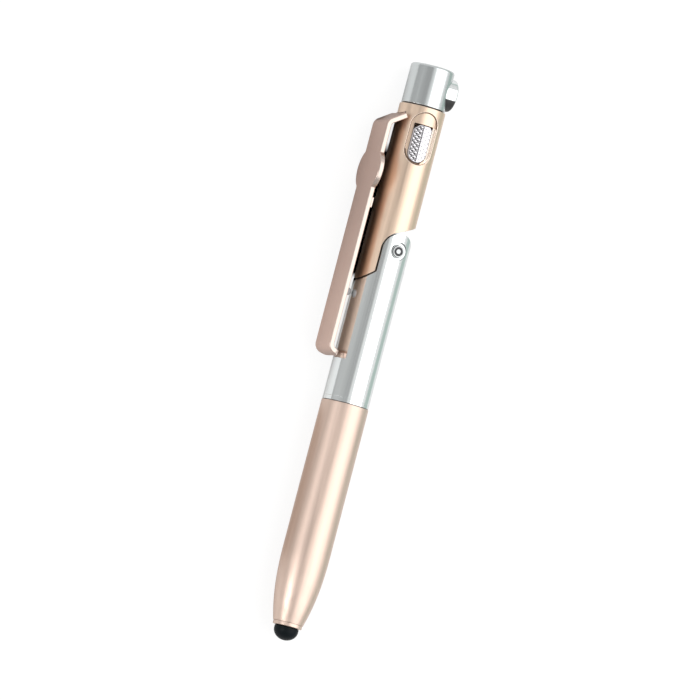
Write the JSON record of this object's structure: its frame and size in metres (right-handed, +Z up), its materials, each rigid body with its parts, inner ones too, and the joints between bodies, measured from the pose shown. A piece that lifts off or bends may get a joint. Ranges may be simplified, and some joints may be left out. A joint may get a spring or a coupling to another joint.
{
  "type": "multi tool pen",
  "caption": "Folding pen with a wide flat clip, a push button light with a window, a ball point under a pull-off cap and a touch-screen stylus, which folds into a telephone stand.",
  "frame": {"origin": "centre of the bounding box at the level of the table that the closed pen lies on", "axes": "+Y along the pen, from the stylus to the head; +Z up, with the light's window on top; -X toward the clip. The pen rests on its cap and on one lobe of the clip, so it is rolled by 9.97 degrees about Y"},
  "size_m": [0.0174, 0.1394, 0.0144],
  "materials": {
    "rose_gold": "polished rose-gold plate",
    "polished_silver": "polished silver plate",
    "steel": "plain bright steel",
    "clear_lens": "clear faceted acrylic",
    "led_resin": "clear resin",
    "board": "green circuit board",
    "black_plastic": "satin black",
    "white_nylon": "satin white",
    "grey_rubber": "matt grey rubber",
    "black_rubber": "smooth black conductive rubber"
  },
  "bodies": {
    "upper_half": {"upper_tube": "rose_gold", "clip": "rose_gold", "clip_pad": "grey_rubber", "window_lens": "clear_lens", "led": "led_resin", "light_board": "board", "push_switch": "black_plastic", "cell_1": "steel", "cell_2": "steel", "cell_3": "steel", "cell_sleeve": "black_plastic", "contact_spring": "steel", "hinge_knuckle": "steel", "head_cap": "polished_silver"},
    "button": {"side_button": "polished_silver", "switch_plunger": "white_nylon"},
    "lower_half": {"lower_barrel": "polished_silver", "hinge_pin": "polished_silver", "trim_ring": "polished_silver", "grip_section": "black_plastic", "grip_ring": "grey_rubber", "refill_tube": "black_plastic", "refill_tip": "steel"},
    "cap": {"cap_sleeve": "rose_gold", "cap_liner": "black_plastic", "stylus_collar": "rose_gold", "stylus_tip": "black_rubber"}
  },
  "joints": [
    {"name": "fold", "type": "hinge", "parent": "upper_half", "child": "lower_half", "pos_m": [0.00325, 0.0252, 0.00543], "axis": [0.1731, 0, 0.9849], "range_deg": [0, 115]},
    {"name": "button_press", "type": "slide", "parent": "upper_half", "child": "button", "axis": [-0.9849, 0, 0.1731], "range_m": [0, 0.0007], "stiffness_N_per_m": 300, "springref_m": -0.0015},
    {"name": "cap_pull", "type": "slide", "parent": "lower_half", "child": "cap", "axis": [0, -1, 0], "range_m": [0, 0.05]}
  ]
}
